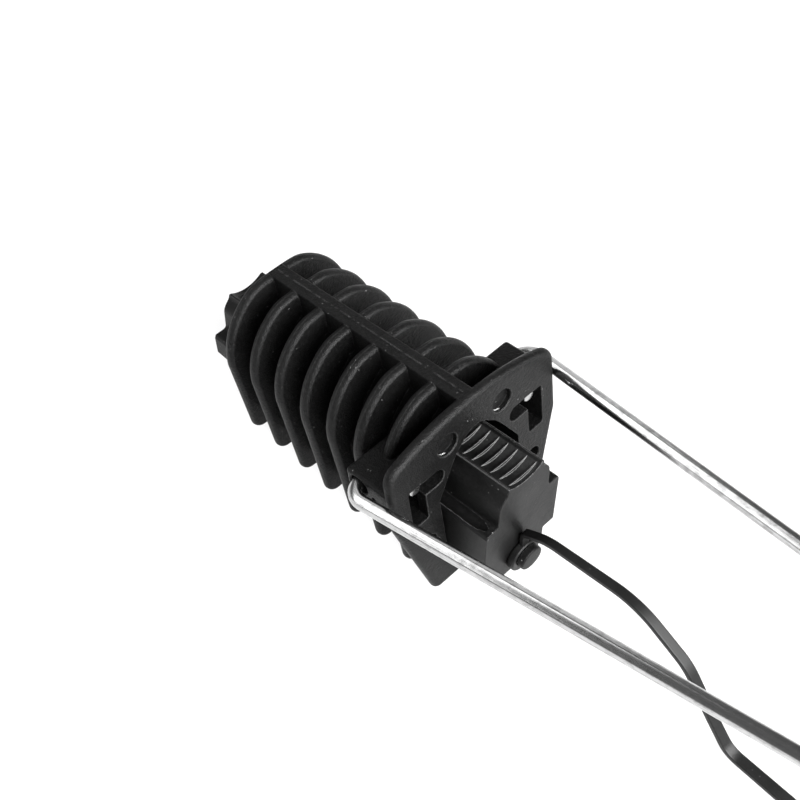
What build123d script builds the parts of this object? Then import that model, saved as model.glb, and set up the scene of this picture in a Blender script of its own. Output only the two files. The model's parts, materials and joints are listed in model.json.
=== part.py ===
from build123d import *
import math
import os

os.makedirs("parts", exist_ok=True)

# A tension clamp for overhead cable: a finned nylon shell, a sliding wedge, a wire bail and a tether.
# Everything is drawn in the grip frame, in millimetres: X runs along the cable towards the bail with
# X = 0 at the flange's front face, Y runs across, and Z is up, with Z = 0 at the line of the fin tips.
# The last section sets the finished pieces down on their tips.

# Shell: fins
base_taper = 7.73        # slope of the fin tips and of the rails against the cable, degrees
fin_count = 7
fin_pitch = 13.5
fin_thickness = 4.4
first_fin_front = 12.45  # from the flange's front face back to the nearest fin
fin_chamfer = 1.2
fin_flat_top = 74.5      # the domes are cut level here, just under the spine
dome_radius = 28.4
dome_height = 47.7       # centre of the dome above the grip frame's floor
foot_half_width = 25.6   # half width at the tips
foot_rounding = 4.0
spine_half_width = 3.5
spine_height = 74.9
spine_rounding = 1.0

# Shell: channel that holds the wedge and the cable
cable_radius = 7.5
cable_height = 54.9      # axis of the gripped cable
arch_half_angle = 50.0   # how far the round ceiling runs down each side, degrees
roof_half_width = 8.7    # the ceiling's flats steepen here
roof_height = 57.3
eave_half_width = 11.6   # and here they meet the long slopes
eave_height = 53.2
corner_half_width = 18.7
corner_height = 41.3
channel_half_width = 18.1
channel_low_height = 20.0
wall = 3.0
rail_top = 12.6          # above the line of the fin tips
rail_thickness = 4.0
rail_gap_half_width = 13.0

# Shell: flange at the mouth
flange_thickness = 4.4
flange_half_width = 37.5
flange_top = 72.0
flange_corner = 8.0
flange_shoulder_height = 41.0
flange_foot_half_width = 25.4
flange_bottom = -1.9
flange_foot_rounding = 3.0
flange_edge_rounding = 1.2
window_inner = 15.3
window_outer = 30.7
window_leg_inner = 24.0
window_top = 55.9
window_sill = 49.4
window_bottom = 38.0
window_rounding = 0.8
recess_radius = 4.27
recess_depth = 2.0
recess_half_spacing = 12.4
recess_height = 63.5
small_hole_radius = 3.2
small_hole_half_spacing = 25.0
small_hole_height = 25.5

# Shell: the lug on each side that the bail hooks into
lug_rear = -21.8
lug_inner = 20.5
lug_outer = 37.3
lug_top = 58.3
lug_bottom = 48.6
lug_rounding = 1.2
cheek_front = -10.5      # front of the solid cheek that the hook pulls on
cheek_notch_top = 54.4
pocket_side_gap = 0.7    # free space beside the hook in its pocket
pocket_roof = 56.7
pocket_rear_gap = 0.8
hook_hole_gap = 0.75
hook_hole_stretch = 1.4  # the hole is this much longer than it is high
hook_hole_lead = 0.1     # and its middle stands this much further forward
duct_wall = 2.4          # floor and outer wall that close the space behind the window

# Bail: round wire, bent flat and hooked at both ends
wire_radius = 2.5
bail_height = 53.8       # hinge axis
bail_rise = 2.2          # degrees that the legs climb towards the loop
hook_drop = 3.3          # degrees that the hooks dip towards their tips
leg_offset = 40.45       # half distance between the legs at the flange face
leg_toe = 6.21           # degrees that each leg leans in
loop_radius = 20.5
loop_centre = 182.0
hook_inner = 26.9        # half distance between the hooked tips
hook_tip = -2.3
hook_bend = 6.4          # radius of both bends of a hook, to the middle of the wire
tip_rounding = 0.6

# Wedge
groove_front = 21.6      # where the groove's rim meets the front face
groove_rear = -119.5
groove_rim_height = 54.5
groove_half_width = 7.4
groove_depth = 2.5       # a shallow dish, so that it suits more than one cable
land_half_width = 8.1    # outer edge of the rim's narrow flat
block_half_width = 12.1
shoulder_half_width = 17.4
tail_half_width = 17.7
rail_clearance = 0.3
keel_half_width = 12.1
keel_clearance = 2.9     # keel above the line of the fin tips
keel_rounding = 1.0
tooth_pitch = 4.0
tooth_thickness = 0.6
tooth_half_width = 6.4   # where a tooth's crest runs into the groove
tooth_crest_depth = 1.4  # below the rim, at the middle
tooth_margin = 2.2       # from the groove's ends to the middle of the nearest tooth

# Peg on the wedge's nose, and the tether that hangs on it
peg_depth = 42.0         # below the groove's rim
peg_radius = 2.9
peg_head_radius = 4.5
peg_head_thickness = 2.6
peg_head_rounding = 0.6
eyelet_gap = 0.2
eyelet_thickness = 3.0
eyelet_radius = 6.9
eyelet_hole_radius = 4.3
eyelet_slack = 0.1
strap_thickness = 2.0
strap_start_width = 2.4
strap_end_width = 4.2
end_eyelet_radius = 6.5
end_eyelet_hole_radius = 3.2
strap_lift = 0.6         # kept clear of the ground
strap_arch = [(41.0, 26.3), (66.0, 29.2), (86.0, 13.6), (96.0, -4.5)]  # X and Z of its corners in the air
strap_landing = 104.0
strap_end = 134.0
strap_start_bend = (0.9, 6.4)  # from the eyelet to the first corner
strap_bends = [4.0, 60.0, 24.0, 20.0, 60.0, 9.0]


def tip_height(x):
    """Height of the line of the fin tips at a place along the cable."""
    return -x * math.tan(math.radians(base_taper))


def both_sides(shape):
    """A shape on the +Y side with its mirror image on the -Y side."""
    return [shape, mirror(shape, about=Plane.XZ)]


def section_at(x):
    """Sketch plane across the cable, with sketch X along Y and sketch Y along Z."""
    return Plane(origin=(x, 0, 0), x_dir=(0, 1, 0), z_dir=(1, 0, 0))


def side_prism(points, y_low, y_high):
    """An outline in X and Z, extruded from one Y to another."""
    outline = make_face(Polyline([(x, 0, z) for x, z in points], close=True))
    return Pos(0, y_low, 0) * extrude(outline, amount=y_high - y_low, dir=(0, 1, 0))


fin_fronts = [-first_fin_front - index * fin_pitch for index in range(fin_count)]
shell_rear = fin_fronts[-1] - fin_thickness
beyond = 20.0            # how far cutters run past what they cut


def fin(front):
    """One fin: a domed plate whose legs end on the line of the tips."""
    tips = tip_height(front - fin_thickness / 2)
    right, left = (dome_radius, dome_height), (-dome_radius, dome_height)
    dome = ThreePointArc(right, (0, dome_height + dome_radius), left)
    legs = Polyline(left, (-foot_half_width, tips), (foot_half_width, tips), right)
    above = Pos(0, fin_flat_top + dome_radius) * Rectangle(3 * dome_radius, 2 * dome_radius)
    outline = make_face([dome, legs]) - above
    outline = fillet(outline.vertices().group_by(Axis.Y)[0], foot_rounding)
    plate = extrude(section_at(front) * outline, amount=-fin_thickness)
    rims = plate.edges().group_by(Axis.X)
    return chamfer(rims[0] + rims[-1], fin_chamfer)


def channel_outline():
    """Section of the space inside: a round ceiling for the cable above the wedge's straight sides."""
    arch_angle = math.radians(arch_half_angle)
    arch_y = cable_radius * math.sin(arch_angle)
    arch_z = cable_height + cable_radius * math.cos(arch_angle)
    ceiling = ThreePointArc((arch_y, arch_z), (0, cable_height + cable_radius), (-arch_y, arch_z))
    side = [
        (arch_y, arch_z),
        (roof_half_width, roof_height),
        (eave_half_width, eave_height),
        (corner_half_width, corner_height),
        (channel_half_width, channel_low_height),
        (channel_half_width, flange_bottom - beyond),
    ]
    other_side = [(-y, z) for y, z in reversed(side)]
    return make_face([ceiling, Polyline(*side, *other_side)])


def below_rails(height):
    """Everything lower than a plane that follows the fin tips at a height above them."""
    front, rear, low = beyond, shell_rear - beyond, flange_bottom - 2 * beyond
    front_top, rear_top = tip_height(front) + height, tip_height(rear) + height
    points = [(front, front_top), (rear, rear_top), (rear, low), (front, low)]
    return side_prism(points, -2 * dome_radius, 2 * dome_radius)


def channel():
    """The open space: above the rails at full width, between the rails down and out of the bottom."""
    length = beyond - (shell_rear - beyond)
    space = extrude(section_at(beyond) * channel_outline(), amount=-length)
    gap_top = tip_height(shell_rear - beyond) + rail_top
    depth = gap_top - flange_bottom + beyond
    gap = Box(length, 2 * rail_gap_half_width, depth, align=(Align.MAX, Align.CENTER, Align.MAX))
    return (space - below_rails(rail_top)) + Pos(beyond, 0, gap_top) * gap


def channel_wall():
    """The skin around that space, which ends in a rail on each side."""
    skin_outline = offset(channel_outline(), wall)
    skin = extrude(section_at(0) * skin_outline, amount=shell_rear)
    return skin - below_rails(rail_top - rail_thickness)


def flange():
    """Plate at the mouth."""
    outline = make_face(
        Polyline(
            (flange_foot_half_width, flange_bottom),
            (flange_half_width, flange_shoulder_height),
            (flange_half_width, flange_top),
            (-flange_half_width, flange_top),
            (-flange_half_width, flange_shoulder_height),
            (-flange_foot_half_width, flange_bottom),
            close=True,
        )
    )
    outline = fillet(outline.vertices().group_by(Axis.Y)[-1], flange_corner)
    outline = fillet(outline.vertices().group_by(Axis.Y)[0], flange_foot_rounding)
    plate = extrude(section_at(0) * outline, amount=-flange_thickness)
    rims = plate.edges().group_by(Axis.X)
    return fillet(rims[0] + rims[-1], flange_edge_rounding)


def window():
    """The bent window: an arm that clears the hook at rest and a leg that it swings down in."""
    arm_half_height = (window_top - window_sill) / 2
    arm = Pos((window_inner + window_outer) / 2, window_sill + arm_half_height) * Rectangle(
        window_outer - window_inner, 2 * arm_half_height
    )
    arm = fillet(arm.vertices().group_by(Axis.X)[0], arm_half_height * 0.98)
    leg = Pos((window_leg_inner + window_outer) / 2, (window_bottom + window_top) / 2) * Rectangle(
        window_outer - window_leg_inner, window_top - window_bottom
    )
    leg = fillet(leg.vertices(), window_rounding)
    return extrude(section_at(wall) * (arm + leg), amount=-(wall + flange_thickness))


def recess():
    disc = Cylinder(recess_radius, 2 * recess_depth)
    return Pos(0, recess_half_spacing, recess_height) * Rot(0, 90, 0) * disc


def small_hole():
    return Pos(0, small_hole_half_spacing, small_hole_height) * Rot(0, 90, 0) * Cylinder(
        small_hole_radius, 3 * flange_thickness
    )


# Each hook is two bends with a short straight between them, which lies on the hinge axis.
toe_slope = math.tan(math.radians(leg_toe))
hook_centre_x = cheek_front - 0.1
hinge_x = hook_centre_x - hook_bend
inner_bend_y = hook_inner + hook_bend
outer_bend_y = leg_offset - toe_slope * hook_centre_x - hook_bend / math.cos(math.radians(leg_toe))


def lug():
    """Block on the shell's +Y side with a cheek for the hook to pull on and a pocket for its tip."""
    block = Pos(lug_rear, lug_inner, lug_bottom) * Box(
        -lug_rear - flange_thickness / 2, lug_outer - lug_inner, lug_top - lug_bottom, align=Align.MIN
    )
    block = fillet(block.edges().group_by(Axis.Z)[-1].group_by(Axis.Y)[-1], lug_rounding)
    return block


def duct():
    """Floor and outer wall below the lug, so that the window opens into a closed space."""
    run = first_fin_front + (fin_thickness - flange_thickness) / 2
    width = window_outer + duct_wall - lug_inner
    corner = Pos(-flange_thickness / 2, window_outer + duct_wall, window_bottom - duct_wall)
    height = lug_bottom - window_bottom + duct_wall
    floor = Box(run, width, duct_wall, align=(Align.MAX, Align.MAX, Align.MIN))
    side = Box(run, duct_wall, height, align=(Align.MAX, Align.MAX, Align.MIN))
    return corner * (floor + side)


def lug_spaces():
    """What is cut out of the lug and the fin that runs through it."""
    pocket_inner = hook_inner - wire_radius - pocket_side_gap
    pocket_outer = hook_inner + wire_radius + pocket_side_gap + 0.3
    pocket_rear = hinge_x - wire_radius - pocket_rear_gap
    pocket_height = pocket_roof - lug_bottom + 0.2
    pocket = Pos(pocket_rear, pocket_inner, lug_bottom - 0.2) * Box(
        -pocket_rear - flange_thickness, pocket_outer - pocket_inner, pocket_height, align=Align.MIN
    )
    notch_run = cheek_notch_top - lug_bottom
    notch = side_prism(
        [
            (cheek_front, lug_bottom - 1),
            (cheek_front, cheek_notch_top),
            (min(cheek_front + notch_run, -flange_thickness), lug_bottom),
            (min(cheek_front + notch_run, -flange_thickness), lug_bottom - 1),
        ],
        pocket_outer - 0.5,
        lug_outer + 1,
    )
    hole_outline = Rot(90, 0, 0) * SlotCenterToCenter(hook_hole_stretch, 2 * (wire_radius + hook_hole_gap))
    hole = extrude(hole_outline, amount=lug_outer + 1 - pocket_inner, dir=(0, 1, 0))
    hole_x = hinge_x + hook_hole_stretch / 2 + hook_hole_lead
    hole = Pos(hole_x, (pocket_inner + pocket_outer) / 2, bail_height) * hole
    return [pocket, notch, hole]


def clamp_body():
    spine = Pos(shell_rear + fin_chamfer, 0, spine_height) * Box(
        -shell_rear - fin_chamfer - flange_thickness / 2,
        2 * spine_half_width,
        spine_height - cable_height - cable_radius - wall / 2,
        align=(Align.MIN, Align.CENTER, Align.MAX),
    )
    spine = fillet(spine.edges().filter_by(Axis.X).group_by(Axis.Z)[-1], spine_rounding)
    shell = channel_wall() + [fin(front) for front in fin_fronts] + [spine, flange()]
    shell = shell + both_sides(lug()) + both_sides(duct())
    for cutter in lug_spaces() + [window(), recess(), small_hole()]:
        shell -= both_sides(cutter)
    return shell - channel()


def bail():
    """Round wire: hook, leg, loop, leg, hook, all one bend plane but for the tips, which dip."""
    toe = math.radians(leg_toe)
    leg_end = (loop_centre + loop_radius * math.sin(toe), loop_radius * math.cos(toe))
    leg_start = (hook_centre_x + hook_bend * math.sin(toe), outer_bend_y + hook_bend * math.cos(toe))
    outer_mid = Vector(hook_centre_x, outer_bend_y) + Vector(-hook_bend, 0).rotate(Axis.Z, -45 - leg_toe / 2)
    inner_mid = Vector(hook_centre_x, inner_bend_y) + Vector(-hook_bend, 0).rotate(Axis.Z, 45)
    outer_edges = [
        ThreePointArc((hinge_x, outer_bend_y), outer_mid, leg_start),
        Line(leg_start, leg_end),
        ThreePointArc(leg_end, (loop_centre + loop_radius, 0), (leg_end[0], -leg_end[1])),
    ]
    tip_edges = [
        Line((hook_tip, hook_inner), (hook_centre_x, hook_inner)),
        ThreePointArc((hook_centre_x, hook_inner), inner_mid, (hinge_x, inner_bend_y)),
        Line((hinge_x, inner_bend_y), (hinge_x, outer_bend_y)),
    ]
    tip = [tilted(edge, hook_drop) for edge in tip_edges]
    leg, loop = [tilted(edge, -bail_rise) for edge in outer_edges[:2]], tilted(outer_edges[2], -bail_rise)
    other_half = [mirror(edge, about=Plane.XZ) for edge in tip + leg]
    path = Wire([edge for curve in tip + leg + [loop] + other_half for edge in curve.edges()])
    section = Plane(origin=path @ 0, z_dir=path % 0) * Circle(wire_radius)
    wire = sweep(section, path=path)
    rims = wire.edges().filter_by(GeomType.CIRCLE)
    tips = [edge for edge in rims if abs(edge.center().X - hook_tip) < wire_radius / 2]
    return chamfer(tips, tip_rounding)


def tilted(edge, degrees):
    """An edge drawn flat, turned about the hinge axis so that it dips by an angle towards +X."""
    return Pos(hinge_x, 0, bail_height) * Rot(0, degrees, 0) * Pos(-hinge_x, 0, 0) * edge


# The wedge is drawn in its own frame, whose X follows the rails and whose Z is square to them.
wedge_frame = Rot(0, base_taper, 0)
taper_sin = math.sin(math.radians(base_taper))
taper_cos = math.cos(math.radians(base_taper))


def along_rails(x, z):
    """A point of the grip frame as distance along the rails and height above the line of the tips."""
    return x * taper_cos - z * taper_sin, x * taper_sin + z * taper_cos


nose_x, nose_height = along_rails(groove_front, groove_rim_height)
tail_x, tail_height = along_rails(groove_rear, groove_rim_height)
peg_height = nose_height - peg_depth


def wedge_section(x, top, side_half_width, steps):
    """Section across the rails. The steps are depths below the rim: lip, block, shoulder, side."""
    lip, block, shoulder, side = steps
    side_bottom = rail_top * taper_cos + rail_clearance
    half = [
        (land_half_width, top),
        (land_half_width + 0.5, top - lip),
        (block_half_width - 0.6, top - block),
        (block_half_width, top - shoulder),
        (side_half_width - 0.6, top - shoulder),
        (side_half_width, top - side),
        (side_half_width, side_bottom),
        (keel_half_width, side_bottom),
        (keel_half_width, keel_clearance + keel_rounding),
        (keel_half_width - keel_rounding, keel_clearance),
    ]
    other_half = [(-y, z) for y, z in reversed(half)]
    return section_at(x) * make_face(Polyline(*half, *other_half, close=True))


def arc_radius(half_width, depth):
    return (half_width**2 + depth**2) / (2 * depth)


def tooth(groove_radius):
    """A thin crescent across the groove, whose lower part runs into the block."""
    meeting_depth = groove_depth - groove_radius + math.sqrt(groove_radius**2 - tooth_half_width**2)
    crest_radius = arc_radius(tooth_half_width, tooth_crest_depth - meeting_depth)
    end_y = (tooth_half_width + groove_half_width) / 2
    end_z = crest_radius - math.sqrt(crest_radius**2 - end_y**2) - tooth_crest_depth
    crest = ThreePointArc((-end_y, end_z), (0, -tooth_crest_depth), (end_y, end_z))
    root = Polyline((end_y, end_z), (end_y, -2 * groove_depth), (-end_y, -2 * groove_depth), (-end_y, end_z))
    return extrude(section_at(tooth_thickness / 2) * make_face([crest, root]), amount=-tooth_thickness)


def wedge():
    """Tapered block with a toothed groove for the cable, side rails, a keel and a peg on its nose."""
    nose = wedge_section(nose_x, nose_height, shoulder_half_width, (3.4, 6.1, 18.0, 19.5))
    tail = wedge_section(tail_x, tail_height, tail_half_width, (1.6, 5.1, 15.2, 16.7))
    block = wedge_frame * (loft([tail, nose], ruled=True) + peg())
    length = groove_front - groove_rear + 2 * beyond
    middle = (groove_front + groove_rear) / 2
    groove_radius = arc_radius(groove_half_width, groove_depth)
    groove = Rot(0, 90, 0) * Cylinder(groove_radius, length)
    block -= Pos(middle, 0, groove_rim_height - groove_depth + groove_radius) * groove
    tooth_count = int((groove_front - groove_rear - 2 * tooth_margin) / tooth_pitch) + 1
    first = Pos(groove_front - tooth_margin, 0, groove_rim_height) * tooth(groove_radius)
    return block + [Pos(-index * tooth_pitch, 0, 0) * first for index in range(tooth_count)]


def peg():
    neck_length = eyelet_thickness + 2 * eyelet_gap
    neck = Cylinder(peg_radius, neck_length + 1)
    neck = Pos(nose_x + neck_length / 2 - 0.5, 0, peg_height) * Rot(0, 90, 0) * neck
    head = Cylinder(peg_head_radius, peg_head_thickness)
    head = fillet(head.edges().group_by(Axis.Z)[-1], peg_head_rounding)
    return neck + Pos(nose_x + neck_length + peg_head_thickness / 2, 0, peg_height) * Rot(0, 90, 0) * head


# The shell and the flange's foot carry the clamp, so their rear lower edges set the rest angle.
rest_run = -flange_thickness - shell_rear
rest_rise = tip_height(fin_fronts[-1] - fin_thickness / 2) - flange_bottom
rest_angle = math.degrees(math.atan(rest_rise / rest_run))


def ground_height(x):
    """Height in the grip frame of the surface that the clamp rests on."""
    return flange_bottom - (x + flange_thickness) * math.tan(math.radians(rest_angle))


def eyelet(radius, hole_radius, thickness):
    return Cylinder(radius, thickness) - Cylinder(hole_radius, thickness)


def tether():
    """Moulded strap: an eyelet on the peg, a springy arch and an eyelet that lies on the ground."""
    ring_height = peg_height - (eyelet_hole_radius - peg_radius - eyelet_slack)
    ring_x = nose_x + eyelet_gap + eyelet_thickness / 2
    ring = wedge_frame * Pos(ring_x, 0, ring_height) * Rot(0, 90, 0) * eyelet(
        eyelet_radius, eyelet_hole_radius, eyelet_thickness
    )
    seat = (wedge_frame * Pos(ring_x, 0, ring_height + (eyelet_radius + eyelet_hole_radius) / 2)).position
    lie = strap_lift + strap_thickness / 2
    path_points = [
        (seat.X, 0, seat.Z),
        (seat.X + strap_start_bend[0], 0, seat.Z + strap_start_bend[1]),
        *[(x, 0, z) for x, z in strap_arch],
        (strap_landing, 0, ground_height(strap_landing) + lie),
        (strap_end, 0, ground_height(strap_end) + lie),
    ]
    path = FilletPolyline(path_points, radius=strap_bends)
    section = Rectangle(strap_end_width, strap_thickness)
    strap = sweep(Plane(origin=path @ 0, x_dir=(0, 1, 0), z_dir=path % 0) * section, path=path)
    plan = make_face(
        Polyline(
            (0, strap_start_width / 2),
            (strap_end, strap_end_width / 2),
            (strap_end, -strap_end_width / 2),
            (0, -strap_start_width / 2),
            close=True,
        )
    )
    strap &= extrude(plan, amount=spine_height, both=True)
    end_x = strap_end + (end_eyelet_radius + end_eyelet_hole_radius) / 2
    end_height = ground_height(end_x) + strap_lift + eyelet_thickness / 2
    end_place = Pos(end_x, 0, end_height) * Rot(0, rest_angle, 0)
    return ring + strap + end_place * eyelet(end_eyelet_radius, end_eyelet_hole_radius, eyelet_thickness)


pieces = {"clamp_body": clamp_body(), "wedge": wedge(), "bail": bail(), "tether": tether()}

# Set the clamp down on its tips, with the origin under the middle of the whole.
stood = {name: Rot(0, -rest_angle, 0) * piece for name, piece in pieces.items()}
extent = Compound(children=[Compound(piece.solids()) for piece in stood.values()]).bounding_box()
shift = Pos(-extent.center().X, -extent.center().Y, -extent.min.Z)
for name, piece in stood.items():
    export_step(shift * Compound(piece.solids()), f"parts/{name}.step")
print("rest angle", round(rest_angle, 4), "shift", shift.position, "hinge X", round(hinge_x, 3))
print("wedge nose", round(nose_x, 3), round(nose_height, 3))
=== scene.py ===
import json
import math

import bmesh
import bpy
from mathutils import Matrix, Vector


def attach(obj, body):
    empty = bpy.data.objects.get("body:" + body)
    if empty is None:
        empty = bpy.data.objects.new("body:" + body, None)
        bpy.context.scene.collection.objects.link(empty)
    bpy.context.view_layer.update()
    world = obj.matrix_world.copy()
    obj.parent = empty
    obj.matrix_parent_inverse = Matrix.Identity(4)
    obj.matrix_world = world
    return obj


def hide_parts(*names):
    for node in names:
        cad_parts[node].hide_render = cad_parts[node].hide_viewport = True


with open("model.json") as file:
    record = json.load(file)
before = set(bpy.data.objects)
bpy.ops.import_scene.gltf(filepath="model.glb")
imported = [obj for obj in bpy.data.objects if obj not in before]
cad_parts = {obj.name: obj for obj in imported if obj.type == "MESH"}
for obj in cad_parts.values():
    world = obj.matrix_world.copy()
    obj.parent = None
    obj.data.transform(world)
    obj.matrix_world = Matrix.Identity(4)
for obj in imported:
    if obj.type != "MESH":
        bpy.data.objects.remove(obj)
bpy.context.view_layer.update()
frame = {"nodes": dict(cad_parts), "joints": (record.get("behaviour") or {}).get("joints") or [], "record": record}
print("frame loaded:", ", ".join(sorted(frame["nodes"])))

# Shapes are drawn in millimetres in the grip frame: X along the cable towards the bail with X = 0 at the
# flange's front face, Y across, Z up from the line of the fin tips. The frame's own joint and mount place it.
hinge = {"x": -17.0, "z": 53.8}
joints = {joint["name"]: joint for joint in frame["joints"]}
mounts = {mount["name"]: mount for mount in frame["record"]["mounts"]}
cableAxis = -Vector(mounts["cable_grip"]["axis"])
slideAxis = Vector(joints["wedge_slide"]["axis"])
restAngle = math.atan2(cableAxis.z, cableAxis.x)
baseTaper = restAngle - math.atan2(slideAxis.z, slideAxis.x)
gripToFrame = (
    Matrix.Translation(joints["bail_swing"]["pos_m"])
    @ Matrix.Rotation(-restAngle, 4, "Y")
    @ Matrix.Scale(0.001, 4)
    @ Matrix.Translation((-hinge["x"], 0, -hinge["z"]))
)
wedgeToGrip = Matrix.Rotation(baseTaper, 4, "Y")  # the wedge's own X follows the rails


def tipHeight(x):
    return -x * math.tan(baseTaper)


# Outlines are lists of (y, z) points, counted once round.

def arcPoints(centre, radius, startDegrees, endDegrees, steps):
    points = []
    for index in range(steps + 1):
        angle = math.radians(startDegrees + (endDegrees - startDegrees) * index / steps)
        points.append((centre[0] + radius * math.cos(angle), centre[1] + radius * math.sin(angle)))
    return points


def circle(centre, radius, steps):
    return arcPoints(centre, radius, 0, 360, steps)[:-1]


def roundCorners(points, radii, steps=6):
    result = []
    for index, radius in enumerate(radii):
        here = Vector(points[index])
        before = Vector(points[index - 1]) - here
        after = Vector(points[(index + 1) % len(points)]) - here
        angle = before.angle(after)
        if radius <= 0 or angle > math.radians(179):
            result.append(tuple(here))
            continue
        reach = radius / math.tan(angle / 2)
        centre = here + (before.normalized() + after.normalized()).normalized() * radius / math.sin(angle / 2)
        start = here + before.normalized() * reach - centre
        end = here + after.normalized() * reach - centre
        turn = math.atan2(start.x * end.y - start.y * end.x, start.dot(end))
        for step in range(steps + 1):
            result.append(tuple(centre + Matrix.Rotation(turn * step / steps, 2) @ start))
    return result


def mirrored(points):
    return [(-y, z) for y, z in reversed(points)]


def directions(points):
    # the way that a path runs at each of its points
    pairs = zip(points[:1] + points, points[1:] + points[-1:])
    return [(Vector(after) - Vector(before)).normalized() for before, after in pairs]


def inset(points, distance):
    # moves an outline inwards, whichever way its points run
    area = sum(a[0] * b[1] - b[0] * a[1] for a, b in zip(points, points[1:] + points[:1]))
    side = 1 if area > 0 else -1
    moved = []
    for index, point in enumerate(points):
        here = Vector(point)
        into = (here - Vector(points[index - 1])).normalized()
        out = (Vector(points[(index + 1) % len(points)]) - here).normalized()
        normalIn = Vector((-into.y, into.x)) * side
        normalOut = Vector((-out.y, out.x)) * side
        mitre = (normalIn + normalOut).normalized()
        moved.append(tuple(here + mitre * distance / max(0.3, mitre.dot(normalIn))))
    return moved


def newObject(name, mesh):
    item = bpy.data.objects.new(name, mesh)
    bpy.context.scene.collection.objects.link(item)
    return item


def loft(name, rings, closedRound=False):
    # joins rings of (x, y, z) points of equal count; the two ends are capped unless it closes on itself
    mesh = bpy.data.meshes.new(name)
    count = len(rings[0])
    points = [point for ring in rings for point in ring]
    faces = []
    last = len(rings) if closedRound else len(rings) - 1
    for row in range(last):
        low, high = row * count, (row + 1) % len(rings) * count
        for index in range(count):
            following = (index + 1) % count
            faces.append((low + index, low + following, high + following, high + index))
    if not closedRound:
        faces.append(tuple(range(count)))
        faces.append(tuple(range((len(rings) - 1) * count, len(rings) * count)))
    mesh.from_pydata(points, [], faces)
    work = bmesh.new()
    work.from_mesh(mesh)
    bmesh.ops.remove_doubles(work, verts=work.verts, dist=1e-4)
    bmesh.ops.recalc_face_normals(work, faces=work.faces)
    work.to_mesh(mesh)
    work.free()
    return newObject(name, mesh)


def ringAt(x, outline):
    return [(x, y, z) for y, z in outline]


def plate(name, outline, profile):
    # an outline across the cable whose rim follows a profile of (x, distance in from the outline)
    return loft(name, [ringAt(x, inset(outline, depth)) for x, depth in profile])


def flared(depth, flare):
    # the profile of a cutter that opens by the flare where it leaves the flange's front face
    return [(2, -flare), (0, -flare), (-flare, 0), (-depth, 0)]


def quarterRound(radius, steps):
    # a quarter circle over an edge, as distances in from its end face and in from its side
    turns = [math.pi / 2 * step / steps for step in range(steps + 1)]
    return [(radius * (1 - math.sin(turn)), radius * (1 - math.cos(turn))) for turn in turns]


def box(name, low, high, bevel=0.0):
    mesh = bpy.data.meshes.new(name)
    work = bmesh.new()
    corners = bmesh.ops.create_cube(work, size=1)["verts"]
    for corner in corners:
        corner.co = [low[axis] if corner.co[axis] < 0 else high[axis] for axis in range(3)]
    if bevel:
        bmesh.ops.bevel(work, geom=work.edges[:], offset=bevel, segments=3, affect="EDGES", profile=0.5)
    bmesh.ops.recalc_face_normals(work, faces=work.faces)
    work.to_mesh(mesh)
    work.free()
    return newObject(name, mesh)


def mirrorPair(name, item):
    # the piece on +Y with its mirror image on -Y
    mesh = bpy.data.meshes.new(name)
    work = bmesh.new()
    work.from_mesh(item.data)
    work.transform(Matrix.Scale(-1, 4, (0, 1, 0)))
    bmesh.ops.reverse_faces(work, faces=work.faces)
    work.from_mesh(item.data)
    work.to_mesh(mesh)
    work.free()
    bpy.data.objects.remove(item)
    return newObject(name, mesh)


def applied(item):
    # the object with its modifiers made real
    graph = bpy.context.evaluated_depsgraph_get()
    mesh = bpy.data.meshes.new_from_object(item.evaluated_get(graph), depsgraph=graph)
    item.modifiers.clear()
    item.data = mesh
    return item


def combine(item, others, operation):
    for other in others:
        step = item.modifiers.new(operation, "BOOLEAN")
        step.operation = operation
        step.solver = "MANIFOLD"
        step.object = other
        applied(item)
        bpy.data.objects.remove(other)
    return item


def finished(item, name, body, node, material, smoothAngle=32, weighted=True):
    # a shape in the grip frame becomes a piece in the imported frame
    mesh = item.data
    work = bmesh.new()
    work.from_mesh(mesh)
    bmesh.ops.remove_doubles(work, verts=work.verts, dist=2e-3)
    bmesh.ops.dissolve_degenerate(work, dist=1e-3, edges=work.edges)
    work.transform(gripToFrame)
    work.to_mesh(mesh)
    work.free()
    mesh.shade_smooth()
    mesh.set_sharp_from_angle(angle=math.radians(smoothAngle))
    if weighted:
        step = item.modifiers.new("Weighted", "WEIGHTED_NORMAL")
        step.keep_sharp = True
        step.weight = 80
        applied(item)
    item.name = name
    item.data.name = name
    item.data.materials.clear()
    item.data.materials.append(material)
    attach(item, body)
    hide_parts(node)
    print("piece", name, "faces", len(item.data.polygons))


# Sizes that the finishes follow too. The groove is shallow and round, and each tooth is a thin crescent in it.

recessShape = {"radius": 4.27, "depth": 2.0, "spacing": 12.4, "height": 63.5, "flare": 0.3}
wedgeShape = {
    "grooveFront": 21.6, "grooveRear": -119.5, "rim": 54.5, "land": 8.1, "block": 12.1, "shoulder": 17.4,
    "tail": 17.7, "railClearance": 0.3, "keel": 12.1, "keelClearance": 2.9, "edge": 0.3,
    "lipSpread": 0.5, "draft": 0.6, "roundings": [0.25, 3.0, 6.0, 1.4, 0.6, 0.6, 0.5, 0.4, 1.0],
}
grooveShape = {"halfWidth": 7.4, "depth": 2.5, "past": 20}
troughShape = {
    "radius": 2.35, "across": 14.75, "lift": 1.1, "frontGap": 1.3, "bow": 7.0, "bowSteps": 12, "tip": 0.02,
    "length": 60.0, "steps": 32,
}
toothShape = {
    "pitch": 4.0, "thickness": 0.6, "halfWidth": 6.4, "crestDepth": 1.4, "margin": 2.2, "round": 0.14,
    "roundShare": 0.3,
}
gleamReach = 1.0  # past the first and last tooth


def arcRadius(halfWidth, depth):
    return (halfWidth**2 + depth**2) / (2 * depth)


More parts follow.
